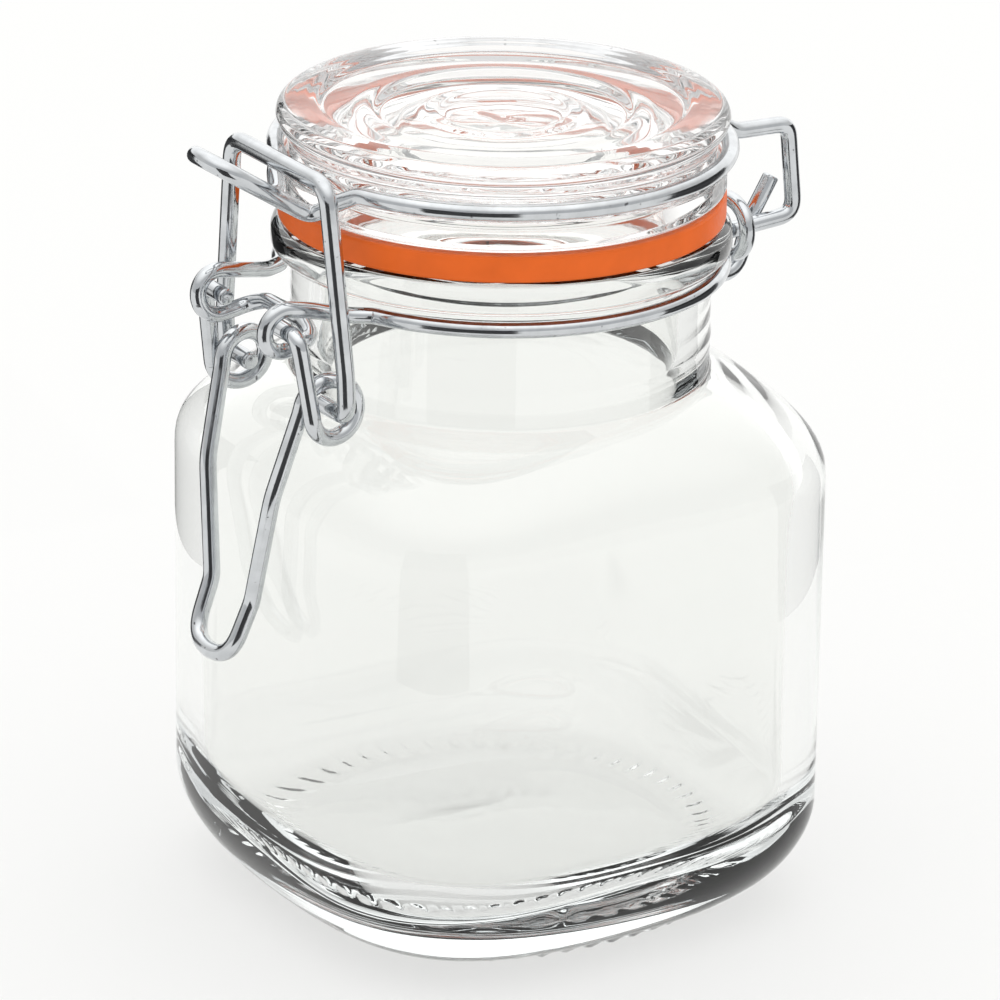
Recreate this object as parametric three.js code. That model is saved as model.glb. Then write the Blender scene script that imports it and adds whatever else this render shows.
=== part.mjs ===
// Square clip-top jar: glass jar, glass lid, rubber ring and a clasp and hinge bent from four wires.
// Millimetres, +Z up. The origin is on the jar's axis at the plane it stands on.
// The clasp is at -Y and the hinge at +Y.
import * as THREE from 'three';

// ---- driving dimensions ----
const bodySide = 58;          // across the flats
const bodySquareness = 3.5;   // exponent of the rounded-square plan: 2 is round, large is square
const heelHeight = 10.5;      // curve from the wall into the base
const heelInset = 10.5;
const baseThickness = 7;
const innerHeelHeight = 7;    // curve from the inside wall into the floor
const innerHeelInset = 6.5;
const wallThickness = 2.8;
const shoulderStart = 45.6;   // full width ends here
const neckStart = 56.5;
const neckRadius = 21.2;
const mouthRadius = 18;
const rimFlangeRadius = 23.2;
const rimFlangeBottom = 68.6;
const rimTop = 71.8;
const gap = 0.3;              // clearance between pieces that touch

const gasketRadius = 22.5;
const gasketBore = 18.4;
const gasketThickness = 2.7;

const lidRadius = 22.75;
const lidTop = 84;
const lidFlangeRadius = 22.5; // seats on the gasket
const lidFlangeTop = 77.9;
const lidGrooveRadius = 21.5; // the lid wire's groove
const lidGrooveBottom = 78.2;
const lidGrooveTop = 80.7;
const spigotRadius = 17.3;    // the part of the lid inside the gasket's bore
const spigotDepth = 1.6;
const lidHollowTop = 79.2;    // dome under the lid

const neckWireRadius = 0.82;
const lidWireRadius = 0.88;
const leverWireRadius = 0.87;
const bailWireRadius = 0.92;

const neckRing = { radius: 22.3, z: 67.3 };
const lidRing = { radius: 22.75, z: 79.4 };
const leverPivot = { y: -29.0, z: 66.5 };   // axis of the neck wire's front coils
const bailPivot = { y: -25.0, z: 58.4 };    // axis of the lever's eyes
const crossbar = { y: -25.8, z: 81.4 };     // bail's crossbar, over the lid wire's hook
const hookRoot = { y: -24.0, z: 76.4 };
const hookTip = { y: -34.4, z: 83.1 };
const hinge = { y: 28.1, z: 62.9 };         // bottom bar of the neck wire's hinge eye

const wireSides = 8;
const ringStep = 9;           // degrees between sections on the wire rings
const turnStep = 24;          // degrees between sections in a bend
const plateSegments = 48;     // around the jar, gasket and lid
const heelSteps = 5;

// ---- helpers ----
const radians = THREE.MathUtils.degToRad;
const point = (x, y, z) => new THREE.Vector3(x, y, z);
const gasketBottom = rimTop + gap;
const gasketTop = gasketBottom + gasketThickness;
const lidBottom = gasketTop + gap;

// A path that visits its points one by one, so that sections fall exactly on them.
class PointPath extends THREE.Curve {
  constructor(points) {
    super();
    this.points = points;
  }
  getPoint(t, target = new THREE.Vector3()) {
    const s = t * (this.points.length - 1);
    const i = Math.min(Math.floor(s + 1e-6), this.points.length - 2);
    return target.lerpVectors(this.points[i], this.points[i + 1], s - i);
  }
  getPointAt(t, target) {
    return this.getPoint(t, target);
  }
  getTangentAt(t, target = new THREE.Vector3()) {
    const i = Math.round(t * (this.points.length - 1));
    const before = this.points[Math.max(i - 1, 0)];
    const after = this.points[Math.min(i + 1, this.points.length - 1)];
    return target.subVectors(after, before).normalize();
  }
}

// A round wire of the given radius along a list of points.
function wire(points, radius) {
  const section = new THREE.Shape();
  for (let i = 0; i < wireSides; i++) {
    const a = (i + 0.5) * 2 * Math.PI / wireSides;
    const corner = [radius * Math.cos(a), radius * Math.sin(a)];
    if (i === 0) section.moveTo(...corner);
    else section.lineTo(...corner);
  }
  section.closePath();
  const path = new PointPath(points);
  return new THREE.ExtrudeGeometry(section, { steps: points.length - 1, extrudePath: path, curveSegments: 1 });
}

// A bent wire's centre line: straight runs between corners, each corner rounded to its own radius.
// A corner is [x, y, z, bendRadius]; the first and last have none.
function bent(corners) {
  const out = [point(...corners[0])];
  for (let i = 1; i < corners.length - 1; i++) {
    const here = point(...corners[i]);
    const back = point(...corners[i - 1]).sub(here);
    const ahead = point(...corners[i + 1]).sub(here);
    const backRoom = back.length() * (i === 1 ? 1 : 0.5);
    const aheadRoom = ahead.length() * (i === corners.length - 2 ? 1 : 0.5);
    back.normalize();
    ahead.normalize();
    const turn = Math.PI - back.angleTo(ahead);
    const reach = Math.min((corners[i][3] ?? 1.6) * Math.tan(turn / 2), backRoom * 0.98, aheadRoom * 0.98);
    const from = here.clone().addScaledVector(back, reach);
    const to = here.clone().addScaledVector(ahead, reach);
    const arc = new THREE.QuadraticBezierCurve3(from, here, to);
    const sections = Math.max(1, Math.round(THREE.MathUtils.radToDeg(turn) / turnStep));
    out.push(...arc.getPoints(sections));
  }
  out.push(point(...corners.at(-1)));
  return out;
}

// Points of a level circle about the jar's axis, from one bearing to another (degrees, 0 is +X).
function ringArc(ring, fromDegrees, toDegrees) {
  const count = Math.max(2, Math.round(Math.abs(toDegrees - fromDegrees) / ringStep));
  return Array.from({ length: count + 1 }, (_, i) => {
    const a = radians(fromDegrees + (toDegrees - fromDegrees) * i / count);
    return point(ring.radius * Math.cos(a), ring.radius * Math.sin(a), ring.z);
  });
}

const mirrored = (points) => points.map((p) => point(-p.x, p.y, p.z)).reverse();

// Corners of a helical turn about an axis along X: angles in degrees, 0 is +Y and 90 is +Z.
function turnAbout(centre, radius, fromDegrees, toDegrees, fromX, toX) {
  const count = Math.max(2, Math.round(Math.abs(toDegrees - fromDegrees) / turnStep));
  return Array.from({ length: count + 1 }, (_, i) => {
    const s = i / count;
    const a = radians(fromDegrees + (toDegrees - fromDegrees) * s);
    return point(fromX + (toX - fromX) * s, centre.y + radius * Math.cos(a), centre.z + radius * Math.sin(a));
  });
}

function piece(name, geometry, colour, roughness, metalness, opacity = 1) {
  const material = new THREE.MeshStandardMaterial({ color: colour, roughness, metalness });
  material.opacity = opacity;
  material.transparent = opacity < 1;
  const mesh = new THREE.Mesh(geometry, material);
  mesh.name = name;
  return mesh;
}

const lathe = (outline) => new THREE.LatheGeometry(
  outline.map(([r, z]) => new THREE.Vector2(r, z)), plateSegments,
).rotateX(Math.PI / 2);

// ---- jar ----
// Each profile point is [half width, height, squareness]: 0 keeps a circle, 1 gives the full rounded square.
function shoulder(side, neck, from, to, steps) {
  return Array.from({ length: steps + 1 }, (_, i) => {
    const a = radians(90 * i / steps);
    const spread = Math.cos(a) ** 2.3;
    return [neck + (side - neck) * spread, from + (to - from) * Math.sin(a) ** 0.75, spread];
  });
}

function heel(side, inset, bottom, height, squareness) {
  return Array.from({ length: heelSteps + 1 }, (_, i) => {
    const a = radians(90 * i / heelSteps);
    const spread = squareness + (1 - squareness) * i / heelSteps;
    return [side - inset * (1 - Math.sin(a)), bottom + height * (1 - Math.cos(a)), spread];
  });
}

function jarProfile() {
  const half = bodySide / 2;
  const profile = [[0, 0, 0], ...heel(half, heelInset, 0, heelHeight, 0.55)];
  profile.push([half, 30, 1]);
  profile.push(...shoulder(half, neckRadius, shoulderStart, neckStart, 7));
  profile.push([neckRadius, rimFlangeBottom - 0.3, 0]);
  profile.push([neckRadius + 0.4, rimFlangeBottom, 0]);
  profile.push([rimFlangeRadius - 0.7, rimFlangeBottom, 0]);
  profile.push([rimFlangeRadius, rimFlangeBottom + 0.7, 0]);
  profile.push([rimFlangeRadius, rimTop - 0.9, 0]);
  profile.push([rimFlangeRadius - 0.8, rimTop, 0]);
  profile.push([mouthRadius + 0.5, rimTop, 0]);
  profile.push([mouthRadius, rimTop - 0.5, 0]);
  const innerHalf = half - wallThickness;
  const innerLift = -1.6;
  profile.push(...shoulder(innerHalf, mouthRadius, shoulderStart + innerLift, neckStart + innerLift, 6).reverse());
  profile.push(...heel(innerHalf, innerHeelInset, baseThickness, innerHeelHeight, 0.7).reverse());
  profile.push([0, baseThickness, 0]);
  return profile;
}

// The profile is turned about the axis, and each point is pushed out to the rounded square by its squareness.
function jarGeometry() {
  const profile = jarProfile();
  const geometry = lathe(profile.map(([r, z]) => [r, z]));
  const position = geometry.getAttribute('position');
  for (let i = 0; i < position.count; i++) {
    const squareness = profile[i % profile.length][2];
    const x = position.getX(i);
    const y = position.getY(i);
    const a = Math.atan2(y, x);
    const n = bodySquareness;
    const square = (Math.abs(Math.cos(a)) ** n + Math.abs(Math.sin(a)) ** n) ** (-1 / n);
    const scale = 1 + squareness * (square - 1);
    position.setXY(i, x * scale, y * scale);
  }
  geometry.deleteAttribute('normal');
  geometry.deleteAttribute('uv');
  return geometry;
}

// ---- lid and gasket ----
const lidOutline = [
  [0, lidHollowTop], [9, lidHollowTop - 0.3], [14.2, lidHollowTop - 1.6], [15.6, lidHollowTop - 3.3],
  [spigotRadius - 1.4, lidBottom - spigotDepth], [spigotRadius, lidBottom - spigotDepth],
  [spigotRadius + 0.5, lidBottom], [lidFlangeRadius - 0.4, lidBottom],
  [lidFlangeRadius, lidBottom + 0.4], [lidFlangeRadius, lidFlangeTop],
  [lidGrooveRadius, lidGrooveBottom], [lidGrooveRadius, lidGrooveTop],
  [lidRadius - 0.3, 81.9], [lidRadius, 82.7], [lidRadius - 0.6, 83.6], [lidRadius - 1.9, lidTop],
  [19.2, lidTop], [18.0, 83.4], [13.0, 83.1], [12.2, 82.6], [7.6, 82.6], [6.8, 82.2], [0, 82.2],
];
const gasketOutline = [
  [gasketBore, gasketBottom], [gasketRadius, gasketBottom],
  [gasketRadius, gasketTop], [gasketBore, gasketTop], [gasketBore, gasketBottom],
];

// ---- neck wire: ring, two front coils and the hinge eye ----
function neckWireLine() {
  const coilX = 6.5;
  const coilRadius = 2.25;
  const eye = { x: -0.5, halfWidth: 3.3, halfHeight: 2.9 };
  const frontBearing = -66;
  const nearRing = ringArc(neckRing, 82, frontBearing);
  const toCoil = bent([
    [neckRing.radius * Math.cos(radians(frontBearing)), neckRing.radius * Math.sin(radians(frontBearing)), neckRing.z],
    [8.0, -22.6, neckRing.z + 0.1, 2], [7.1, -26.4, leverPivot.z + 1.8, 3],
    [coilX + 0.35, leverPivot.y, leverPivot.z + coilRadius],
  ]).slice(1, -1);
  const coil = turnAbout(leverPivot, coilRadius, 90, 290, coilX + 0.35, coilX - 0.2);
  const toBridge = bent([
    [coilX - 0.2, leverPivot.y + 0.8, leverPivot.z - coilRadius + 0.1],
    [coilX - 0.4, -25.5, 65.0, 1.8], [3.5, -25.1, 65.9, 1.5], [0, -25.1, 66.0],
  ]).slice(1);
  const near = [...nearRing, ...toCoil, ...coil, ...toBridge];
  const far = mirrored([...ringArc(neckRing, 72, frontBearing), ...toCoil, ...coil, ...toBridge]).slice(1);
  const eyeZ = hinge.z + eye.halfHeight;
  const toEye = bent([
    [neckRing.radius * Math.cos(radians(108)), neckRing.radius * Math.sin(radians(108)), neckRing.z],
    [-6.6, 23.6, 65.6, 2.5], [-5.6, 27.3, hinge.z + 0.5, 2], [eye.x - 1.2, hinge.y, hinge.z],
  ]).slice(1, -1);
  const loop = Array.from({ length: 11 }, (_, i) => {
    const a = radians(-105 + 275 * i / 10);
    return point(eye.x + eye.halfWidth * Math.cos(a), hinge.y, eyeZ + eye.halfHeight * Math.sin(a));
  });
  const back = bent([
    [eye.x - eye.halfWidth, hinge.y, eyeZ + 0.6], [eye.x - eye.halfWidth, hinge.y, eyeZ - 0.5, 0.9],
    [eye.x - eye.halfWidth, 24.6, neckRing.z, 1.2], [eye.x - eye.halfWidth, 22.3, neckRing.z, 1.6],
    [2.2, 22.3, neckRing.z],
  ]).slice(1);
  return [...near, ...far, ...toEye, ...loop, ...back];
}

// ---- lid wire: ring, front hook and the hinge frame with its curled end ----
function lidWireLine() {
  const hookHalf = 3.2;
  const bearing = -70;
  const onRing = (degrees) => ringArc(lidRing, degrees, degrees)[0].toArray();
  const nearHook = bent([
    [0, hookTip.y, hookTip.z], [hookHalf, hookTip.y, hookTip.z, 3.1],
    [hookHalf, hookRoot.y, hookRoot.z, 1.4], [5.8, -22.9, 78.2, 1.6], onRing(bearing),
  ]).slice(0, -1);
  const farRing = ringArc(lidRing, 97, 180 - bearing);
  const nearRing = ringArc(lidRing, bearing, 78);
  const frame = bent([
    onRing(78), [0.2, lidRing.radius + 1.2, lidRing.z - 0.5, 1.8], [0, 28.0, 76.1, 2.5],
    [0, 34.7, 75.9, 1.4], [0, 35.8, 66.0, 1.8], [0, hinge.y, hinge.z + 2.6],
  ]).slice(1, -1);
  const curl = turnAbout(hinge, 2.6, 90, 350, 0, -1.9);
  const tail = bent([
    [-1.9, hinge.y + 2.6, hinge.z], [-2.1, hinge.y + 3.6, hinge.z + 2.6, 1.5], [-2.1, 34.3, 69.8],
  ]).slice(1);
  return [...farRing, ...mirrored(nearHook), ...nearHook.slice(1), ...nearRing, ...frame, ...curl, ...tail];
}

// ---- lever: V handle, an eye each side for the bail, and a pivot pin each side in the neck wire's coils ----
function leverLine() {
  const armX = 7.8;
  const strandX = 9.9;
  const pivotX = 9.2;
  const eyeRadius = 2.8;
  const handle = bent([
    [0, -33.8, 31.6], [3.6, -33.5, 31.9, 3.2], [4.0, -31.2, 37.6, 3],
    [6.4, -30.3, 49.2, 12], [armX, bailPivot.y - eyeRadius, bailPivot.z],
  ]).slice(0, -1);
  const eye = turnAbout(bailPivot, eyeRadius, 180, -168, armX, strandX);
  const pin = bent([
    [strandX, bailPivot.y - eyeRadius, bailPivot.z], [pivotX, leverPivot.y, leverPivot.z, 1.5],
    [4.7, leverPivot.y, leverPivot.z],
  ]).slice(1);
  const near = [...handle, ...eye, ...pin];
  return [...mirrored(near), ...near.slice(1)];
}

// ---- bail: crossbar, two legs, and a bent-in end each side through the lever's eyes ----
function bailLine() {
  const topX = 9.1;
  const footX = 11.8;
  const near = bent([
    [0, crossbar.y, crossbar.z], [topX, crossbar.y, crossbar.z, 2.4], [footX, bailPivot.y - 0.2, 63, 6],
    [footX, bailPivot.y, bailPivot.z, 1.5], [6.9, bailPivot.y, bailPivot.z],
  ]);
  return [...mirrored(near), ...near.slice(1)];
}

const glass = [0xe8f0ec, 0.05, 0];
const plated = [0xc8ccd0, 0.22, 1];
const jar = new THREE.Group();
jar.add(
  piece('jar', jarGeometry(), ...glass, 0.4),
  piece('neck_wire', wire(neckWireLine(), neckWireRadius), ...plated),
);
const lid = new THREE.Group();
lid.add(
  piece('lid_glass', lathe(lidOutline), ...glass, 0.4),
  piece('gasket', lathe(gasketOutline), 0xe8642a, 0.6, 0),
  piece('lid_wire', wire(lidWireLine(), lidWireRadius), ...plated),
);
const clasp = new THREE.Group();
clasp.add(
  piece('clasp_lever', wire(leverLine(), leverWireRadius), ...plated),
  piece('clasp_bail', wire(bailLine(), bailWireRadius), ...plated),
);

const canister = new THREE.Group();
canister.add(jar, lid, clasp);
export default canister;
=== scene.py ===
"""Square clip-top canister: pressed glass jar and lid, rubber ring, wire hinge and over-centre clasp."""

import math

import bpy
import numpy as np
from bpy.props import FloatProperty, FloatVectorProperty, PointerProperty
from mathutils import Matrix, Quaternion, Vector


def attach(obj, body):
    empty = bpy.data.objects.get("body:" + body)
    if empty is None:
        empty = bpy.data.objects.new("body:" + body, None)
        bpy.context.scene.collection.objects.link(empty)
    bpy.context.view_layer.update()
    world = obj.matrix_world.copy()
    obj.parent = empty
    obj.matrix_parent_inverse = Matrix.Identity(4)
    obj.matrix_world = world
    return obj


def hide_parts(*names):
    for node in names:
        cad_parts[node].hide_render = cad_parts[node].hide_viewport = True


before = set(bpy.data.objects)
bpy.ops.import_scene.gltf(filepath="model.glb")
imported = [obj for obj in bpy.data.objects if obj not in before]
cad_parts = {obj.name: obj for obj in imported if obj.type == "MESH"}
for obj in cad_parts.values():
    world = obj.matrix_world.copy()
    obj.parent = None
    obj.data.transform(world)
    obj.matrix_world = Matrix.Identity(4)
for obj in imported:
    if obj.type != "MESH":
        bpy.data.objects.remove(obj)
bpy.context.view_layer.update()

bl_info = {
    "name": "Clip-top Canister",
    "version": (1, 0, 0),
    "blender": (4, 5, 0),
    "location": "View3D > Sidebar > Canister",
    "description": "Builds the glass, rubber and bent wire of a small square clip-top canister",
    "category": "Add Mesh",
}

MM = 0.001

# ---- sizes shared with the solids, in millimetres ----
HALF_SIDE = 29.0
SQUARENESS = 3.5              # exponent of the rounded-square plan
HEEL = 10.5
FLOOR, FLOOR_HEEL, FLOOR_INSET = 7.0, 7.0, 6.5   # inside the jar
SHOULDER_START, NECK_START = 45.6, 56.5
NECK_RADIUS, MOUTH_RADIUS = 21.2, 18.0
RIM_RADIUS, RIM_BOTTOM, RIM_TOP = 23.2, 68.6, 71.8
GASKET_BOTTOM, GASKET_TOP, GASKET_RADIUS, GASKET_BORE = 72.1, 74.8, 22.5, 18.4
LID_BOTTOM, LID_TOP, LID_RADIUS = 75.1, 84.0, 22.75
NECK_RING = (22.3, 67.3)      # radius and height of the neck wire's ring
LID_RING = (22.75, 79.4)
LEVER_PIVOT = (-29.0, 66.5)   # y and z of the lever's pins
BAIL_PIVOT = (-25.0, 58.4)
CROSSBAR = (-25.8, 81.4)
HOOK_ROOT, HOOK_TIP = (-24.0, 76.4), (-34.4, 83.1)
HINGE = (28.1, 62.9)

ROUND_STEPS = 392             # sections round the jar: seven to each rib under its base
BASE_RIBS = 56
LID_STEPS = 300
WIRE_SIDES = 20
WIRE_STEP = 0.28              # between sections along a wire
WIRE_SOFTNESS = 0.34          # spread of the bell curve that eases a wire's bends
BEND_RADIUS = 1.6             # of a bend that states none
PROFILE_STEP = 0.03           # between points of a glass profile while it is rounded
JAR_ROWS, LID_ROWS = 205, 230
JAR_SOFTNESS, LID_SOFTNESS = 0.22, 0.16
JAR_WAVE, LID_WAVE = 0.012, 0.007      # depth of the mould's waves
JAR_HAZE, LID_HAZE = 0.05, 0.12        # roughness where the glass is most handled

# ---- stage, in metres and degrees ----
CAMERA_PLACE = (0.48534, -0.30814, 0.26235)
CAMERA_AIM = (0, 0, 0.042)
CAMERA_ROLL = 0.866
CAMERA_LENS, SENSOR_WIDTH = 217.3, 36  # millimetres
CAMERA_SHIFT = (0.0024, -0.0086)
TENT_OPENING = (0.844, -0.536, 0.05)   # direction of the tent's dimmer side
FLAG_BEARINGS, FLAG_HALF_WIDTH, FLAG_COLUMNS = (-47, 76, 193), 23, 12


# ---------------------------------------------------------------- meshes from arrays
def mesh_object(name, points, quads, triangles):
    """A closed mesh from whole arrays of corners, in millimetres, scaled to metres. If the signed volume, a sixth of
    the sum of a . (b x c) over the triangles, is negative, every face is turned round."""
    split = np.concatenate([quads[:, [0, 1, 2]], quads[:, [0, 2, 3]], triangles])
    a, b, c = points[split[:, 0]], points[split[:, 1]], points[split[:, 2]]
    if np.einsum("ij,ij->i", a, np.cross(b, c)).sum() < 0:
        quads, triangles = quads[:, ::-1], triangles[:, ::-1]
    mesh = bpy.data.meshes.new(name)
    corners = np.concatenate([quads.ravel(), triangles.ravel()]).astype(np.int32)
    starts = np.concatenate([np.arange(len(quads)) * 4, len(quads) * 4 + np.arange(len(triangles)) * 3])
    mesh.vertices.add(len(points))
    mesh.vertices.foreach_set("co", (points * MM).astype(np.float32).ravel())
    mesh.loops.add(len(corners))
    mesh.loops.foreach_set("vertex_index", corners)
    mesh.polygons.add(len(starts))
    mesh.polygons.foreach_set("loop_start", starts.astype(np.int32))
    mesh.update(calc_edges=True)
    mesh.polygons.foreach_set("use_smooth", np.ones(len(starts), bool))
    if mesh.validate():
        raise RuntimeError(f"{name} has faces that aren't sound")
    made = bpy.data.objects.new(name, mesh)
    bpy.context.scene.collection.objects.link(made)
    return made


def closed_rows(rows, around):
    """Faces of a tube of rows x around points, row by row, with one more point at each end closing it."""
    first = np.arange(rows - 1)[:, None] * around
    here = np.arange(around)
    following = (here + 1) % around
    quads = np.stack(
        [first + here, first + following, first + around + following, first + around + here], -1
    ).reshape(-1, 4)
    start, end = rows * around, rows * around + 1
    last = (rows - 1) * around
    fans = np.concatenate([
        np.stack([np.full(around, start), following, here], -1),
        np.stack([np.full(around, end), last + here, last + following], -1),
    ])
    return quads, fans


def smoothed(path, step, spread):
    """Resamples a path to even steps of its length, then averages it with a bell curve of the given spread. Each end is
    carried on by its own point reflection, so the ends stay where they are."""
    along = np.concatenate([[0], np.cumsum(np.linalg.norm(np.diff(path, axis=0), axis=1))])
    even = np.linspace(0, along[-1], max(int(along[-1] / step), 8) + 1)
    fine = np.stack([np.interp(even, along, column) for column in path.T], -1)
    reach = min(int(math.ceil(3 * spread / step)), len(fine) - 1)
    offsets = np.arange(-reach, reach + 1) * step
    bell = np.exp(-0.5 * (offsets / spread) ** 2)
    bell /= bell.sum()
    before = 2 * fine[0] - fine[reach:0:-1]
    after = 2 * fine[-1] - fine[-2:-reach - 2:-1]
    padded = np.concatenate([before, fine, after])
    return np.stack([np.convolve(column, bell, "valid") for column in padded.T], -1)


def spaced_by_bend(profile, count, bend_share):
    """Resamples a profile to count points, closer together where it turns: the spacing follows the length plus
    bend_share times the angle turned."""
    span = np.diff(profile[:, :2], axis=0)
    length = np.linalg.norm(span, axis=1)
    heading = np.unwrap(np.arctan2(span[:, 1], span[:, 0]))
    turned = np.abs(np.gradient(heading))
    weight = np.concatenate([[0], np.cumsum(length + bend_share * turned)])
    return np.stack([np.interp(np.linspace(0, weight[-1], count), weight, c) for c in profile.T], -1)


def glass_profile(points, count, softness, bend_share=3.5):
    """A pressed profile from hard corners [radius, height, squareness]: rounded by a bell average, then respaced.
    It starts and ends on the axis, where it is carried on by its mirror image, so that it crosses level."""
    corners = np.array(points, float)
    flip = np.array([-1, 1, 1])
    whole = np.concatenate([corners[1:2] * flip, corners, corners[-2:-1] * flip])
    smooth = smoothed(whole, PROFILE_STEP, softness)
    inside = smooth[:, 0] >= 0
    first = np.argmax(inside)
    last = len(inside) - np.argmax(inside[::-1])
    half = spaced_by_bend(smooth[first:last], count, bend_share)
    half[[0, -1], 0] = 0
    return half


def turned(name, profile, steps, shaped=None):
    """Turns a profile about the axis: a point at bearing t is (r cos t, r sin t, z). shaped may move the whole grid.
    The first and last points lie on the axis and become single points."""
    bearing = np.arange(steps) * 2 * math.pi / steps
    radius, height = profile[:, 0, None], profile[:, 1, None]
    grid = np.stack([
        radius * np.cos(bearing), radius * np.sin(bearing), np.broadcast_to(height, (len(profile), steps))
    ], -1)
    if shaped is not None:
        grid = shaped(grid, profile, bearing)
    ends = grid[[0, -1]].mean(1)
    points = np.concatenate([grid[1:-1].reshape(-1, 3), ends])
    return mesh_object(name, points, *closed_rows(len(profile) - 2, steps))


def wire(name, path, radius):
    """A round wire: rings of radius r stand square to the path, on a frame carried along it without twist, and
    the ends are cut flat with a rounded edge. Each point keeps (length along, r cos t, r sin t) as its grain."""
    path = smoothed(path, WIRE_STEP, WIRE_SOFTNESS)
    tangent = np.gradient(path, axis=0)
    tangent /= np.linalg.norm(tangent, axis=1)[:, None]
    side = np.empty_like(tangent)
    side[0] = np.cross(tangent[0], [0.31, 0.21, 0.93])
    for i in range(1, len(path)):
        side[i] = side[i - 1] - tangent[i] * (side[i - 1] @ tangent[i])
        side[i] /= np.linalg.norm(side[i])
    side[0] /= np.linalg.norm(side[0])
    other = np.cross(tangent, side)
    edge = radius * np.array([0.72, 0.9, 0.98])
    inset = radius * np.array([0.0, 0.06, 0.17])
    centre = np.concatenate([
        path[0] + inset[:, None] * tangent[0], path[1:-1], path[-1] - inset[::-1, None] * tangent[-1],
    ])
    rows = np.concatenate([np.zeros(3, int), np.arange(1, len(path) - 1), np.full(3, len(path) - 1)])
    size = np.concatenate([edge, np.full(len(path) - 2, radius), edge[::-1]])
    turn = np.arange(WIRE_SIDES) * 2 * math.pi / WIRE_SIDES
    spoke = side[rows, None] * np.cos(turn)[:, None] + other[rows, None] * np.sin(turn)[:, None]
    grid = centre[:, None] + spoke * size[:, None, None]
    points = np.concatenate([grid.reshape(-1, 3), path[[0, -1]]])
    made = mesh_object(name, points, *closed_rows(len(grid), WIRE_SIDES))
    length = np.concatenate([[0], np.cumsum(np.linalg.norm(np.diff(centre, axis=0), axis=1))])
    grain = np.stack([
        np.broadcast_to(length[:, None], grid.shape[:2]),
        size[:, None] * np.cos(turn), size[:, None] * np.sin(turn),
    ], -1).reshape(-1, 3)
    grain = np.concatenate([grain, [[0, 0, 0], [length[-1], 0, 0]]])
    attribute = made.data.attributes.new("wire_grain", "FLOAT_VECTOR", "POINT")
    attribute.data.foreach_set("vector", grain.astype(np.float32).ravel())
    return made


# ---------------------------------------------------------------- wire paths
def bent(corners):
    """A bent wire's centre line: straight runs between corners [x, y, z, bend radius], each corner replaced by the
    parabola (1-t)^2 a + 2t(1-t) b + t^2 c that touches both runs at radius x tan(half the turn) from it."""
    corners = [list(c) + [BEND_RADIUS] * (4 - len(c)) for c in corners]
    spots = [np.array(c[:3], float) for c in corners]
    out = [spots[0][None]]
    t = np.linspace(0, 1, 13)[:, None]
    for i in range(1, len(corners) - 1):
        back, ahead = spots[i - 1] - spots[i], spots[i + 1] - spots[i]
        back_run, ahead_run = np.linalg.norm(back), np.linalg.norm(ahead)
        back, ahead = back / back_run, ahead / ahead_run
        turn = math.pi - math.acos(np.clip(back @ ahead, -1, 1))
        reach = min(
            corners[i][3] * math.tan(turn / 2),
            0.98 * back_run * (1 if i == 1 else 0.5),
            0.98 * ahead_run * (1 if i == len(corners) - 2 else 0.5),
        )
        start, end = spots[i] + back * reach, spots[i] + ahead * reach
        out.append((1 - t) ** 2 * start + 2 * t * (1 - t) * spots[i] + t ** 2 * end)
    out.append(spots[-1][None])
    return np.concatenate(out)


def ring_arc(ring, start, end):
    """Points of a level circle (R cos t, R sin t, z) from one bearing to another, in degrees."""
    t = np.radians(np.linspace(start, end, max(2, int(abs(end - start) / 1.5)) + 1))
    return np.stack([ring[0] * np.cos(t), ring[0] * np.sin(t), np.full_like(t, ring[1])], -1)


def turn_about(centre, radius, start, end, start_x, end_x):
    """A helical turn about an axis along X: (x, y + r cos t, z + r sin t), with x moving evenly."""
    s = np.linspace(0, 1, max(3, int(abs(end - start) / 6)) + 1)
    t = np.radians(start + (end - start) * s)
    return np.stack([
        start_x + (end_x - start_x) * s, centre[0] + radius * np.cos(t), centre[1] + radius * np.sin(t)
    ], -1)


def mirrored(path):
    """The same path on the other side of X = 0, run backwards."""
    return (path * [-1, 1, 1])[::-1]


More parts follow.
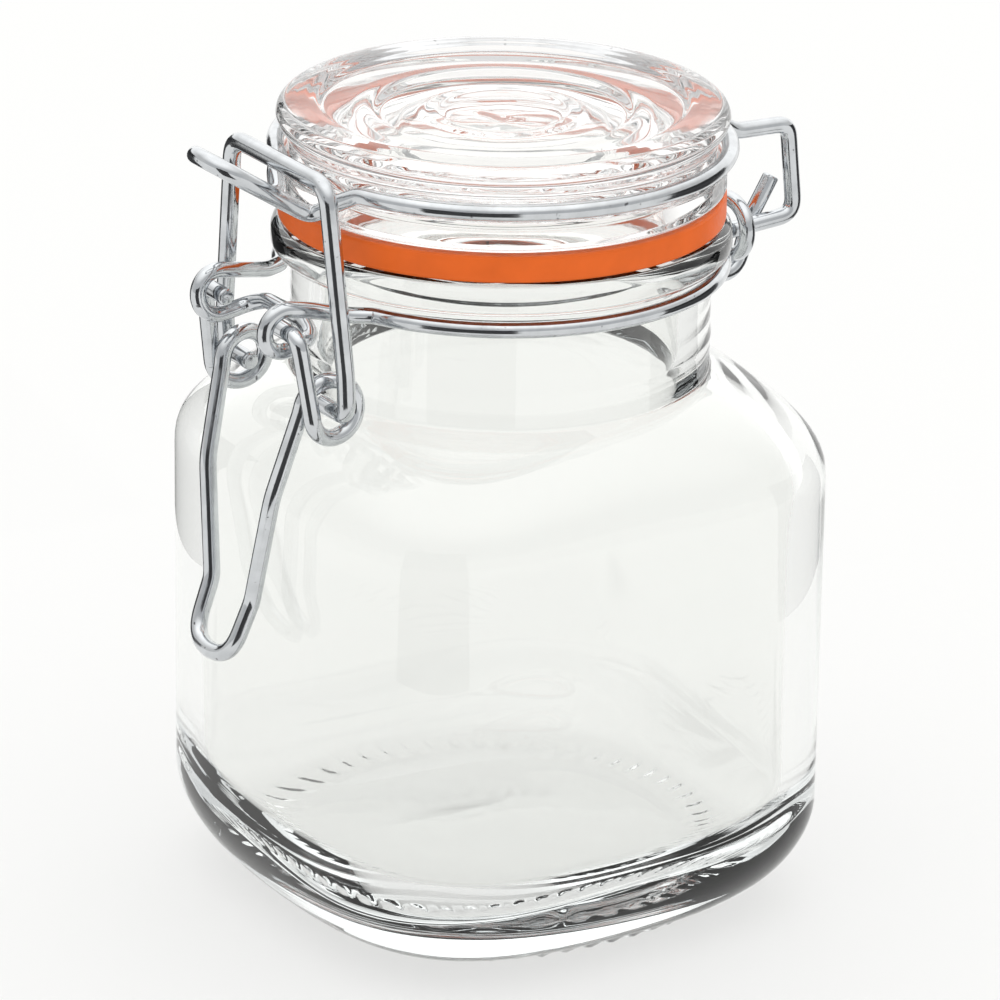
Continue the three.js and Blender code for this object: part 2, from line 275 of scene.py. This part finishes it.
def neck_wire_path():
    """The ring in the neck's groove, a coil each side for the lever's pins, the bridge between them and the eye that
    the hinge hooks into."""
    coil_x, coil_radius = 6.5, 2.25
    eye_x, eye_width, eye_height = -0.5, 3.3, 2.9
    bearing = math.radians(-66)
    ring_radius, ring_z = NECK_RING
    to_coil = bent([
        [ring_radius * math.cos(bearing), ring_radius * math.sin(bearing), ring_z],
        [8.0, -22.6, ring_z + 0.1, 2], [7.1, -26.4, LEVER_PIVOT[1] + 1.8, 3],
        [coil_x + 0.35, LEVER_PIVOT[0], LEVER_PIVOT[1] + coil_radius],
    ])[1:-1]
    coil = turn_about(LEVER_PIVOT, coil_radius, 90, 290, coil_x + 0.35, coil_x - 0.2)
    to_bridge = bent([
        [coil_x - 0.2, LEVER_PIVOT[0] + 0.8, LEVER_PIVOT[1] - coil_radius + 0.1],
        [coil_x - 0.4, -25.5, 65.0, 1.8], [3.5, -25.1, 65.9, 1.5], [0, -25.1, 66.0],
    ])[1:]
    near = np.concatenate([ring_arc(NECK_RING, 82, -66), to_coil, coil, to_bridge])
    far = mirrored(np.concatenate([ring_arc(NECK_RING, 72, -66), to_coil, coil, to_bridge]))[1:]
    leave = math.radians(108)
    eye_z = HINGE[1] + eye_height
    to_eye = bent([
        [ring_radius * math.cos(leave), ring_radius * math.sin(leave), ring_z],
        [-6.6, 23.6, 65.6, 2.5], [-5.6, 27.3, HINGE[1] + 0.5, 2], [eye_x - 1.2, HINGE[0], HINGE[1]],
    ])[1:-1]
    t = np.radians(np.linspace(-105, 170, 56))
    loop = np.stack([
        eye_x + eye_width * np.cos(t), np.full_like(t, HINGE[0]), eye_z + eye_height * np.sin(t)
    ], -1)
    side_x = eye_x - eye_width
    back = bent([
        [side_x, HINGE[0], eye_z + 0.6], [side_x, HINGE[0], eye_z - 0.5, 0.9],
        [side_x, 24.6, ring_z, 1.2], [side_x, 22.3, ring_z, 1.6], [2.2, 22.3, ring_z],
    ])[1:]
    return np.concatenate([near, far, to_eye, loop, back])


def lid_wire_path():
    """The ring in the lid's groove, the hairpin hook at the front and the hinge frame with its curled end."""
    hook_half, bearing = 3.2, -70

    def on_ring(degrees):
        return list(ring_arc(LID_RING, degrees, degrees)[0])

    near_hook = bent([
        [0, *HOOK_TIP], [hook_half, *HOOK_TIP, 3.1], [hook_half, *HOOK_ROOT, 1.4],
        [5.8, -22.9, 78.2, 1.6], on_ring(bearing),
    ])[:-1]
    frame_line = bent([
        on_ring(78), [0.2, LID_RING[0] + 1.2, LID_RING[1] - 0.5, 1.8], [0, 28.0, 76.1, 2.5],
        [0, 34.7, 75.9, 1.4], [0, 35.8, 66.0, 1.8], [0, HINGE[0], HINGE[1] + 2.6],
    ])[1:-1]
    curl = turn_about(HINGE, 2.6, 90, 350, 0, -1.9)
    tail = bent([
        [-1.9, HINGE[0] + 2.6, HINGE[1]], [-2.1, HINGE[0] + 3.6, HINGE[1] + 2.6, 1.5], [-2.1, 34.3, 69.8],
    ])[1:]
    return np.concatenate([
        ring_arc(LID_RING, 97, 180 - bearing), mirrored(near_hook), near_hook[1:],
        ring_arc(LID_RING, bearing, 78), frame_line, curl, tail,
    ])


def lever_path():
    """The V handle, an eye each side for the bail and a pin each side in the neck wire's coils."""
    arm_x, strand_x, pivot_x, eye_radius = 7.8, 9.9, 9.2, 2.8
    eye_y = BAIL_PIVOT[0] - eye_radius
    handle = bent([
        [0, -33.8, 31.6], [3.6, -33.5, 31.9, 3.2], [4.0, -31.2, 37.6, 3], [6.4, -30.3, 49.2, 12],
        [arm_x, eye_y, BAIL_PIVOT[1]],
    ])[:-1]
    eye = turn_about(BAIL_PIVOT, eye_radius, 180, -168, arm_x, strand_x)
    pin = bent([[strand_x, eye_y, BAIL_PIVOT[1]], [pivot_x, *LEVER_PIVOT, 1.5], [4.7, *LEVER_PIVOT]])[1:]
    near = np.concatenate([handle, eye, pin])
    return np.concatenate([mirrored(near), near[1:]])


def bail_path():
    """The crossbar over the hook, two legs, and an end each side bent in through the lever's eyes."""
    near = bent([
        [0, *CROSSBAR], [9.1, *CROSSBAR, 2.4], [11.8, BAIL_PIVOT[0] - 0.2, 63, 6],
        [11.8, *BAIL_PIVOT, 1.5], [6.9, *BAIL_PIVOT],
    ])
    return np.concatenate([mirrored(near), near[1:]])


# ---------------------------------------------------------------- glass shapes
def shoulder(side, neck, low, high):
    """From the wall to the neck: radius neck + (side - neck) s and height low + (high - low) sin(a)^0.75, with
    s = cos(a)^2.3 the squareness as well."""
    a = np.radians(np.linspace(0, 90, 240))
    spread = np.cos(a) ** 2.3
    return np.stack([neck + (side - neck) * spread, low + (high - low) * np.sin(a) ** 0.75, spread], -1)


def dome(edge, foot, rise, squareness):
    """A low dome, under the base or on the floor inside: height foot + rise (1 - (r / edge)^2)^2, squarer towards
    its edge."""
    r = np.linspace(0, edge, 60)
    return np.stack([r, foot + rise * (1 - (r / edge) ** 2) ** 2, squareness * (r / edge) ** 2], -1)


def heel(side, inset, bottom, height, squareness):
    """The quarter curve from the base into the wall: radius side - inset (1 - sin a), height bottom + height (1 -
    cos a), with the squareness rising evenly to 1."""
    a = np.radians(np.linspace(0, 90, 160))
    return np.stack([
        side - inset * (1 - np.sin(a)), bottom + height * (1 - np.cos(a)), squareness + (1 - squareness) * a / a[-1]
    ], -1)


def jar_profile(wall):
    """Outside from the middle of the base up to the rim, then inside down to the middle of the floor."""
    inner = HALF_SIDE - wall
    drop = 1.6                # the inside of the shoulder sits this far below the outside
    return np.concatenate([
        dome(17.6, 0, 0.7, 0.5),
        heel(HALF_SIDE, HEEL, 0, HEEL, 0.55),
        shoulder(HALF_SIDE, NECK_RADIUS, SHOULDER_START, NECK_START),
        [[NECK_RADIUS, 59.7, 0], [NECK_RADIUS + 0.14, 59.9, 0], [NECK_RADIUS + 0.14, 60.1, 0], [NECK_RADIUS, 60.3, 0]],
        [[NECK_RADIUS, RIM_BOTTOM - 0.3, 0], [NECK_RADIUS + 0.4, RIM_BOTTOM, 0], [RIM_RADIUS - 0.7, RIM_BOTTOM, 0]],
        [[RIM_RADIUS, RIM_BOTTOM + 0.7, 0], [RIM_RADIUS, RIM_TOP - 0.9, 0], [RIM_RADIUS - 0.8, RIM_TOP, 0]],
        [[MOUTH_RADIUS + 0.5, RIM_TOP, 0], [MOUTH_RADIUS, RIM_TOP - 0.5, 0]],
        shoulder(inner, MOUTH_RADIUS, SHOULDER_START - drop, NECK_START - drop)[::-1],
        heel(inner, FLOOR_INSET, FLOOR, FLOOR_HEEL, 0.7)[::-1],
        dome(inner - FLOOR_INSET - 0.6, FLOOR - 0.03, 0.35, 0.68)[::-1],
    ])


def rounded_square(grid, profile, bearing):
    """Pushes each point out from the circle to the rounded square |x|^n + |y|^n = 1 by its own squareness, waves the
    inside by a few slow sines, and presses ribs into a ring under the base."""
    n = SQUARENESS
    square = (np.abs(np.cos(bearing)) ** n + np.abs(np.sin(bearing)) ** n) ** (-1 / n)
    grid[..., :2] *= (1 + profile[:, 2, None] * (square - 1))[..., None]
    height = profile[:, 1, None]
    count = len(profile)
    top = np.argmax(profile[:, 1])
    within = (np.arange(count) > top + 8)[:, None]
    slow = (
        0.16 * np.sin(2 * bearing + 0.7 + 0.04 * height) + 0.07 * np.sin(4 * bearing + 2.1 - 0.06 * height)
        + 0.02 * np.sin(7 * bearing + 0.4 + 0.05 * height) + 0.08 * np.sin(0.12 * height + 1.3 * np.sin(bearing))
    )
    calm = np.clip((NECK_START - height) / 12, 0, 1)
    reach = np.hypot(grid[..., 0], grid[..., 1])
    floor_part = np.clip((14 - height) / 6, 0, 1) * np.clip(reach / 14, 0, 1) ** 2
    grid[..., :2] *= np.where(within, 1 + slow * calm / 26, 1)[..., None]
    grid[..., 2] += np.where(within, slow * floor_part * 1.3, 0)
    under = (np.arange(count) < count // 3)[:, None] & (height < 3)
    band = np.exp(-((reach - 22.7) / 1.0) ** 4)
    ribs = np.clip(np.cos(BASE_RIBS * bearing), -0.3, 1) + 0.3
    grid[..., 2] -= np.where(under, np.minimum(0.3 * band * ribs, height * 0.8), 0)
    return grid


LID_PROFILE = [
    [0, 79.4, 0], [6, 79.3, 0], [10.5, 78.6, 0], [13.6, 77.4, 0], [15.2, 75.9, 0], [15.7, LID_BOTTOM - 1.1, 0],
    [16.1, LID_BOTTOM - 1.6, 0], [17.1, LID_BOTTOM - 1.6, 0], [17.5, LID_BOTTOM - 1.2, 0], [17.8, LID_BOTTOM, 0],
    [GASKET_RADIUS - 0.4, LID_BOTTOM, 0], [GASKET_RADIUS, LID_BOTTOM + 0.4, 0], [GASKET_RADIUS, 77.8, 0],
    [GASKET_RADIUS - 0.3, 78.1, 0], [21.6, 78.25, 0], [21.5, 78.6, 0], [21.5, 80.3, 0], [21.7, 80.8, 0],
    [LID_RADIUS - 0.25, 81.8, 0], [LID_RADIUS, 82.6, 0], [LID_RADIUS - 0.25, 83.3, 0], [LID_RADIUS - 0.9, 83.85, 0],
    [LID_RADIUS - 2.0, LID_TOP, 0], [19.6, LID_TOP - 0.02, 0], [18.6, 83.75, 0], [17.9, 83.3, 0],
    [15.0, 83.0, 0], [13.6, 83.05, 0], [13.0, 82.95, 0], [12.2, 82.45, 0], [10.2, 82.35, 0], [8.6, 82.5, 0],
    [7.8, 82.75, 0], [6.6, 82.7, 0], [5.8, 82.3, 0], [3.0, 82.15, 0], [0, 82.1, 0],
]


def lid_ripple(grid, profile, bearing):
    """Lets the pressed faces of the lid wander by a few hundredths, as slow sines of bearing and radius."""
    radius, height = profile[:, 0, None], profile[:, 1, None]
    inside = np.clip((20 - radius) / 3, 0, 1) * np.clip(radius / 3, 0, 1)
    wander = (
        0.022 * np.sin(3 * bearing + 0.3 * radius) + 0.006 * np.sin(5 * bearing + 1.1 - 0.4 * radius)
        + 0.003 * np.sin(8 * bearing + 0.5 * radius + 2.0)
    )
    grid[..., 2] += wander * inside * np.where(height < 81, 2.2, 1.0)
    return grid


# ---------------------------------------------------------------- materials
def new_material(name):
    """A new node material and its parts: nodes, links and shader."""
    material = bpy.data.materials.new(name)
    material.use_nodes = True
    nodes = material.node_tree.nodes
    return material, nodes, material.node_tree.links, nodes["Principled BSDF"]


def add(nodes, kind, inputs=(), **settings):
    """A new node, with its settings and the values of its sockets."""
    node = nodes.new(kind)
    for key, value in settings.items():
        setattr(node, key, value)
    for key, value in dict(inputs).items():
        node.inputs[key].default_value = value
    return node


def noise(nodes, links, vector, scale, detail, stretch=(1, 1, 1)):
    """A noise from 0 to 1 on the given coordinates, drawn out along each axis by stretch."""
    mapping = add(nodes, "ShaderNodeMapping", {"Scale": stretch})
    texture = add(nodes, "ShaderNodeTexNoise", {"Scale": scale, "Detail": detail, "Roughness": 0.55})
    links.new(vector, mapping.inputs["Vector"])
    links.new(mapping.outputs["Vector"], texture.inputs["Vector"])
    return texture.outputs["Fac"]


def spread(nodes, links, value, low, high, to_low, to_high):
    """Maps low to to_low and high to to_high in a straight line, held at both ends."""
    node = add(nodes, "ShaderNodeMapRange", {
        "From Min": low, "From Max": high, "To Min": to_low, "To Max": to_high,
    })
    links.new(value, node.inputs["Value"])
    return node.outputs["Result"]


def sum_of(nodes, links, first, second, weight):
    """first + weight x second."""
    node = add(nodes, "ShaderNodeMath", operation="MULTIPLY_ADD")
    node.inputs[1].default_value = weight
    links.new(second, node.inputs[0])
    links.new(first, node.inputs[2])
    return node.outputs[0]


def bump(nodes, links, shader, height, distance, strength=1.0):
    """Tilts the shader's normal by a height."""
    node = add(nodes, "ShaderNodeBump", {"Strength": strength, "Distance": distance})
    links.new(height, node.inputs["Height"])
    links.new(node.outputs["Normal"], shader.inputs["Normal"])


def glass_material(name, tint, settings, wave, haziest):
    """Clear pressed glass: slow waves from the mould, fine orange-peel, and a faint haze of handling marks."""
    material, nodes, links, shader = new_material(name)
    shader.inputs["Base Color"].default_value = (*tint, 1)
    shader.inputs["Transmission Weight"].default_value = 1.0
    shader.inputs["IOR"].default_value = settings.ior
    place = add(nodes, "ShaderNodeTexCoord").outputs["Object"]
    slow = noise(nodes, links, place, 130, 1.5, (1, 1, 0.45))
    fine = noise(nodes, links, place, 900, 2.0)
    haze = noise(nodes, links, place, 260, 5.0, (1, 1, 0.6))
    links.new(spread(nodes, links, haze, 0.52, 0.75, 0.004, haziest), shader.inputs["Roughness"])
    bump(nodes, links, shader, sum_of(nodes, links, slow, fine, 0.05), wave * MM)
    body = add(nodes, "ShaderNodeVolumeAbsorption", {
        "Color": (*settings.depth_colour, 1), "Density": settings.depth_density,
    })
    links.new(body.outputs["Volume"], nodes["Material Output"].inputs["Volume"])
    return material


def plated_material(settings):
    """Bright plated steel wire: drawing marks along the wire, cloudy plating and small dark pits."""
    material, nodes, links, shader = new_material("bright plated wire")
    shader.inputs["Metallic"].default_value = 1.0
    grain = add(nodes, "ShaderNodeAttribute", attribute_name="wire_grain").outputs["Vector"]
    place = add(nodes, "ShaderNodeTexCoord").outputs["Object"]
    drawn = noise(nodes, links, grain, 5.0, 4.0, (0.035, 1, 1))
    cloud = noise(nodes, links, place, 420, 3.0)
    pits = noise(nodes, links, place, 1500, 1.0)
    worn = spread(nodes, links, cloud, 0.35, 0.7, 0.0, 1.0)
    pit_mask = spread(nodes, links, pits, 0.735, 0.79, 0.0, 1.0)
    colour = add(nodes, "ShaderNodeMix", data_type="RGBA")
    colour.inputs["A"].default_value = (*settings.colour, 1)
    colour.inputs["B"].default_value = (*[c * 0.84 for c in settings.colour], 1)
    links.new(worn, colour.inputs["Factor"])
    pitted = add(nodes, "ShaderNodeMix", data_type="RGBA")
    pitted.inputs["B"].default_value = (0.17, 0.17, 0.18, 1)
    links.new(pit_mask, pitted.inputs["Factor"])
    links.new(colour.outputs["Result"], pitted.inputs["A"])
    links.new(pitted.outputs["Result"], shader.inputs["Base Color"])
    rough = sum_of(nodes, links, spread(nodes, links, cloud, 0.3, 0.7, 0.05, 0.13), drawn, 0.06)
    links.new(rough, shader.inputs["Roughness"])
    relief = sum_of(nodes, links, drawn, pit_mask, -1.2)
    bump(nodes, links, shader, sum_of(nodes, links, relief, cloud, 0.8), 0.006 * MM, 0.8)
    return material


def rubber_material(settings):
    """Smooth orange rubber, a little cloudy, with fine grain from the mould."""
    material, nodes, links, shader = new_material("orange rubber")
    place = add(nodes, "ShaderNodeTexCoord").outputs["Object"]
    cloud = noise(nodes, links, place, 180, 3.0)
    fine = noise(nodes, links, place, 2600, 3.0)
    colour = add(nodes, "ShaderNodeMix", data_type="RGBA")
    colour.inputs["A"].default_value = (*settings.colour, 1)
    colour.inputs["B"].default_value = (*[c * 0.88 for c in settings.colour], 1)
    links.new(spread(nodes, links, cloud, 0.35, 0.65, 0.0, 1.0), colour.inputs["Factor"])
    links.new(colour.outputs["Result"], shader.inputs["Base Color"])
    links.new(spread(nodes, links, fine, 0.3, 0.7, 0.38, 0.5), shader.inputs["Roughness"])
    shader.inputs["Specular IOR Level"].default_value = 0.22
    bump(nodes, links, shader, sum_of(nodes, links, cloud, fine, 0.25), 0.05 * MM, 0.5)
    return material


def floor_material(settings):
    """Pale matt board with a barely uneven surface, lit a little from below."""
    material, nodes, links, shader = new_material("pale floor")
    place = add(nodes, "ShaderNodeTexCoord").outputs["Object"]
    cloud = noise(nodes, links, place, 6, 3.0)
    colour = add(nodes, "ShaderNodeMix", data_type="RGBA")
    colour.inputs["A"].default_value = (*settings.floor_colour, 1)
    colour.inputs["B"].default_value = (*[c * 0.985 for c in settings.floor_colour], 1)
    links.new(cloud, colour.inputs["Factor"])
    links.new(colour.outputs["Result"], shader.inputs["Base Color"])
    shader.inputs["Roughness"].default_value = 0.9
    shader.inputs["Specular IOR Level"].default_value = 0.1
    shader.inputs["Emission Color"].default_value = (1, 1, 0.99, 1)
    shader.inputs["Emission Strength"].default_value = settings.floor_glow
    return material


# ---------------------------------------------------------------- settings
def length(name, description, default):
    """A length setting, its default given in millimetres."""
    return FloatProperty(name=name, description=description, default=default * MM, unit="LENGTH", precision=5)


def colour_property(name, description, default):
    """A colour setting."""
    return FloatVectorProperty(name=name, description=description, default=default, subtype="COLOR", min=0, max=1)


class GlassSettings(bpy.types.PropertyGroup):
    wall: length("Wall", "Thickness of the jar's wall", 2.8)
    tint: colour_property("Tint", "Colour the glass gives to light that crosses a wall", (0.962, 0.967, 0.953))
    lid_tint: colour_property("Lid tint", "Colour the lid gives to light that crosses it", (0.999, 0.982, 0.97))
    depth_colour: colour_property("Depth colour", "Colour of thick glass", (0.52, 0.66, 0.72))
    depth_density: FloatProperty(name="Depth density", description="How soon thick glass darkens", default=3.0, min=0)
    ior: FloatProperty(name="Refraction", description="Index of refraction", default=1.5, min=1, max=2)


class WireSettings(bpy.types.PropertyGroup):
    neck_radius: length("Neck wire", "Radius of the neck wire", 0.82)
    lid_radius: length("Lid wire", "Radius of the lid wire", 0.88)
    lever_radius: length("Lever wire", "Radius of the lever's wire", 0.87)
    bail_radius: length("Bail wire", "Radius of the bail's wire", 0.92)
    colour: colour_property("Plating", "Colour of the plating", (0.66, 0.68, 0.70))


class GasketSettings(bpy.types.PropertyGroup):
    thickness: length("Thickness", "Height of the rubber ring", GASKET_TOP - GASKET_BOTTOM)
    colour: colour_property("Rubber", "Colour of the rubber", (0.92, 0.158, 0.018))


class StageSettings(bpy.types.PropertyGroup):
    floor_size: FloatProperty(name="Floor", description="Width of the floor", default=8.0, unit="LENGTH")
    floor_colour: colour_property("Floor colour", "Colour of the floor", (0.32, 0.32, 0.318))
    floor_glow: FloatProperty(name="Glow", description="Light that comes up through the floor", default=0.6, min=0)
    light: FloatProperty(name="Light", description="Strength of the studio light", default=0.74, min=0)


def plating():
    """The plating that all four wires share."""
    return bpy.data.materials.get("bright plated wire") or plated_material(bpy.context.scene.canister_wire)


def place_piece(made, material, body, node):
    """Gives a piece its material and its body, and hides the node it stands for."""
    made.data.materials.append(material)
    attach(made, body)
    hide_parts(node)


# ---------------------------------------------------------------- operators
class CANISTER_OT_jar(bpy.types.Operator):
    """Build the pressed glass jar"""

    bl_idname = "canister.jar"
    bl_label = "Glass Jar"

    def execute(self, context):
        settings = context.scene.canister_glass
        profile = glass_profile(jar_profile(settings.wall / MM), JAR_ROWS, JAR_SOFTNESS)
        made = turned("glass_jar", profile, ROUND_STEPS, rounded_square)
        glass = glass_material("jar glass", settings.tint, settings, JAR_WAVE, JAR_HAZE)
        place_piece(made, glass, "jar", "jar")
        return {"FINISHED"}


class CANISTER_OT_lid(bpy.types.Operator):
    """Build the pressed glass lid"""

    bl_idname = "canister.lid"
    bl_label = "Glass Lid"

    def execute(self, context):
        settings = context.scene.canister_glass
        profile = glass_profile(LID_PROFILE, LID_ROWS, LID_SOFTNESS)
        made = turned("glass_lid", profile, LID_STEPS, lid_ripple)
        glass = glass_material("lid glass", settings.lid_tint, settings, LID_WAVE, LID_HAZE)
        place_piece(made, glass, "lid", "lid_glass")
        return {"FINISHED"}


class CANISTER_OT_gasket(bpy.types.Operator):
    """Build the rubber ring under the lid"""

    bl_idname = "canister.gasket"
    bl_label = "Rubber Ring"

    def execute(self, context):
        settings = context.scene.canister_gasket
        bottom, top = GASKET_BOTTOM, GASKET_BOTTOM + settings.thickness / MM
        corner = 0.35
        t = np.radians(np.linspace(0, 90, 7))
        arc = np.stack([np.sin(t), 1 - np.cos(t)], -1) * corner
        quarter = [
            arc + [GASKET_RADIUS - corner, bottom],
            np.stack([GASKET_RADIUS - corner + np.cos(t) * corner, top - corner + np.sin(t) * corner], -1),
            np.stack([GASKET_BORE + corner - np.sin(t) * corner, top - corner + np.cos(t) * corner], -1),
            np.stack([GASKET_BORE + corner - np.cos(t) * corner, bottom + corner - np.sin(t) * corner], -1),
        ]
        section = np.concatenate(quarter)
        bearing = np.arange(LID_STEPS) * 2 * math.pi / LID_STEPS
        rows, around = len(section), LID_STEPS
        points = np.stack([
            section[:, 0, None] * np.cos(bearing), section[:, 0, None] * np.sin(bearing),
            np.broadcast_to(section[:, 1, None], (rows, around)),
        ], -1).reshape(-1, 3)
        row, here = np.arange(rows)[:, None], np.arange(around)
        next_row, following = (row + 1) % rows, (here + 1) % around
        quads = np.stack([
            row * around + here, row * around + following,
            next_row * around + following, next_row * around + here,
        ], -1).reshape(-1, 4)
        made = mesh_object("rubber_ring", points, quads, np.zeros((0, 3), int))
        place_piece(made, rubber_material(settings), "lid", "gasket")
        return {"FINISHED"}


class CANISTER_OT_rings(bpy.types.Operator):
    """Bend the neck wire and the lid wire, with the hinge between them"""

    bl_idname = "canister.rings"
    bl_label = "Neck and Lid Wires"

    def execute(self, context):
        settings = context.scene.canister_wire
        neck = wire("neck_wire_bent", neck_wire_path(), settings.neck_radius / MM)
        place_piece(neck, plating(), "jar", "neck_wire")
        lid = wire("lid_wire_bent", lid_wire_path(), settings.lid_radius / MM)
        place_piece(lid, plating(), "lid", "lid_wire")
        return {"FINISHED"}


class CANISTER_OT_clasp(bpy.types.Operator):
    """Bend the lever and the bail of the clasp"""

    bl_idname = "canister.clasp"
    bl_label = "Clasp Wires"

    def execute(self, context):
        settings = context.scene.canister_wire
        lever = wire("lever_bent", lever_path(), settings.lever_radius / MM)
        place_piece(lever, plating(), "lever", "clasp_lever")
        bail = wire("bail_bent", bail_path(), settings.bail_radius / MM)
        place_piece(bail, plating(), "bail", "clasp_bail")
        return {"FINISHED"}


class CANISTER_OT_stage(bpy.types.Operator):
    """Set up the floor, the soft light and the camera"""

    bl_idname = "canister.stage"
    bl_label = "Floor, Light and Camera"

    def execute(self, context):
        settings = context.scene.canister_stage
        half = settings.floor_size / 2
        mesh = bpy.data.meshes.new("floor")
        mesh.from_pydata([(-half, -half, 0), (half, -half, 0), (half, half, 0), (-half, half, 0)], [], [(0, 1, 2, 3)])
        floor = bpy.data.objects.new("floor", mesh)
        floor.location.z = -0.0001
        floor.data.materials.append(floor_material(settings))
        context.scene.collection.objects.link(floor)
        studio_light(context.scene, settings.light)
        black_flags(context.scene)
        studio_camera(context.scene)
        return {"FINISHED"}


def studio_light(scene, strength):
    """A white tent, brightest overhead and behind, a little dimmer low down on the camera's side."""
    world = bpy.data.worlds.new("tent")
    scene.world = world
    world.use_nodes = True
    nodes, links = world.node_tree.nodes, world.node_tree.links
    nodes.clear()
    out = add(nodes, "ShaderNodeOutputWorld")
    ground = add(nodes, "ShaderNodeBackground")
    way = add(nodes, "ShaderNodeTexCoord").outputs["Generated"]
    toward = add(nodes, "ShaderNodeVectorMath", operation="DOT_PRODUCT")
    toward.inputs[1].default_value = TENT_OPENING
    links.new(way, toward.inputs[0])
    split = add(nodes, "ShaderNodeSeparateXYZ")
    links.new(way, split.inputs[0])
    front = spread(nodes, links, toward.outputs["Value"], 0.0, 0.5, 0.0, 1.0)
    behind = spread(nodes, links, toward.outputs["Value"], -0.35, -0.8, 0.0, 0.8)
    low = spread(nodes, links, split.outputs["Z"], 0.42, 0.7, 1.0, 0.0)
    overhead = spread(nodes, links, split.outputs["Z"], 0.45, 0.9, 1.0, 2.1)
    opening = add(nodes, "ShaderNodeMath", operation="MULTIPLY")
    links.new(front, opening.inputs[0])
    links.new(low, opening.inputs[1])
    shade = add(nodes, "ShaderNodeMix", data_type="RGBA")
    shade.inputs["A"].default_value = (0.98, 0.98, 0.972, 1)
    shade.inputs["B"].default_value = (0.85, 0.86, 0.87, 1)
    links.new(opening.outputs[0], shade.inputs["Factor"])
    links.new(shade.outputs["Result"], ground.inputs["Color"])
    power = add(nodes, "ShaderNodeMath", operation="MULTIPLY")
    power.inputs[1].default_value = strength
    links.new(sum_of(nodes, links, overhead, behind, 1.0), power.inputs[0])
    links.new(power.outputs[0], ground.inputs["Strength"])
    links.new(ground.outputs[0], out.inputs["Surface"])


def black_flags(scene):
    """Three black cards round the canister, seen only in reflections, that draw dark streaks along bright wire. Each
    is a profile from (r, z) = (0.11, 0) out along the floor and up, turned through a sector of 46 degrees."""
    profile = np.array([[0.11, 0.001], [0.25, 0.001], [0.5, 0.002], [0.62, 0.06], [0.68, 0.2]])
    cloth = bpy.data.materials.new("black cloth")
    cloth.use_nodes = True
    shader = cloth.node_tree.nodes["Principled BSDF"]
    shader.inputs["Base Color"].default_value = (0.02, 0.02, 0.022, 1)
    shader.inputs["Roughness"].default_value = 1.0
    across, rows = FLAG_COLUMNS, len(profile)
    for i, middle in enumerate(FLAG_BEARINGS):
        t = np.radians(np.linspace(middle - FLAG_HALF_WIDTH, middle + FLAG_HALF_WIDTH, across))
        points = np.stack([
            profile[:, 0, None] * np.cos(t), profile[:, 0, None] * np.sin(t),
            np.broadcast_to(profile[:, 1, None], (rows, across)),
        ], -1).reshape(-1, 3)
        corner = (np.arange(rows - 1)[:, None] * across + np.arange(across - 1)).ravel()[:, None]
        mesh = bpy.data.meshes.new(f"flag_{i}")
        mesh.from_pydata(points.tolist(), [], (corner + [0, 1, across + 1, across]).tolist())
        flag = bpy.data.objects.new(f"flag_{i}", mesh)
        mesh.materials.append(cloth)
        scene.collection.objects.link(flag)
        flag.visible_camera = flag.visible_diffuse = flag.visible_transmission = False
        flag.visible_shadow = flag.visible_volume_scatter = False


def studio_camera(scene):
    """A long lens a little above the canister, on the clasp's right."""
    camera = bpy.data.objects.new("camera", bpy.data.cameras.new("camera"))
    scene.collection.objects.link(camera)
    scene.camera = camera
    camera.data.lens, camera.data.sensor_width = CAMERA_LENS, SENSOR_WIDTH
    camera.data.shift_x, camera.data.shift_y = CAMERA_SHIFT
    camera.data.clip_start, camera.data.clip_end = 0.01, 50
    camera.location = CAMERA_PLACE
    look = (Vector(CAMERA_AIM) - camera.location).to_track_quat("-Z", "Y")
    camera.rotation_mode = "QUATERNION"
    camera.rotation_quaternion = look @ Quaternion((0, 0, 1), math.radians(CAMERA_ROLL))


class CANISTER_PT_panel(bpy.types.Panel):
    """Lists the canister's pieces"""

    bl_idname = "CANISTER_PT_panel"
    bl_label = "Canister"
    bl_space_type = "VIEW_3D"
    bl_region_type = "UI"
    bl_category = "Canister"

    def draw(self, context):
        for name, operators in PANEL_ROWS:
            box = self.layout.box()
            settings = getattr(context.scene, name)
            for key in settings.__annotations__:
                box.prop(settings, key)
            for operator in operators:
                box.operator(operator)


PANEL_ROWS = (
    ("canister_glass", ("canister.jar", "canister.lid")),
    ("canister_gasket", ("canister.gasket",)),
    ("canister_wire", ("canister.rings", "canister.clasp")),
    ("canister_stage", ("canister.stage",)),
)
SETTINGS = {
    "canister_glass": GlassSettings,
    "canister_gasket": GasketSettings,
    "canister_wire": WireSettings,
    "canister_stage": StageSettings,
}
CLASSES = (
    *SETTINGS.values(), CANISTER_OT_jar, CANISTER_OT_lid, CANISTER_OT_gasket, CANISTER_OT_rings, CANISTER_OT_clasp,
    CANISTER_OT_stage, CANISTER_PT_panel,
)


def register():
    for cls in CLASSES:
        bpy.utils.register_class(cls)
    for name, group in SETTINGS.items():
        setattr(bpy.types.Scene, name, PointerProperty(type=group))


def unregister():
    for name in SETTINGS:
        delattr(bpy.types.Scene, name)
    for cls in reversed(CLASSES):
        bpy.utils.unregister_class(cls)


def main():
    """Registers the add-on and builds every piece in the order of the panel."""
    register()
    for _, operators in PANEL_ROWS:
        for operator in operators:
            group, name = operator.split(".")
            getattr(getattr(bpy.ops, group), name)()
    scene = bpy.context.scene
    scene.view_settings.view_transform = "Standard"
    scene.cycles.max_bounces = 24
    scene.cycles.transmission_bounces = 20
    scene.cycles.glossy_bounces = 8


if __name__ == "__main__":
    main()
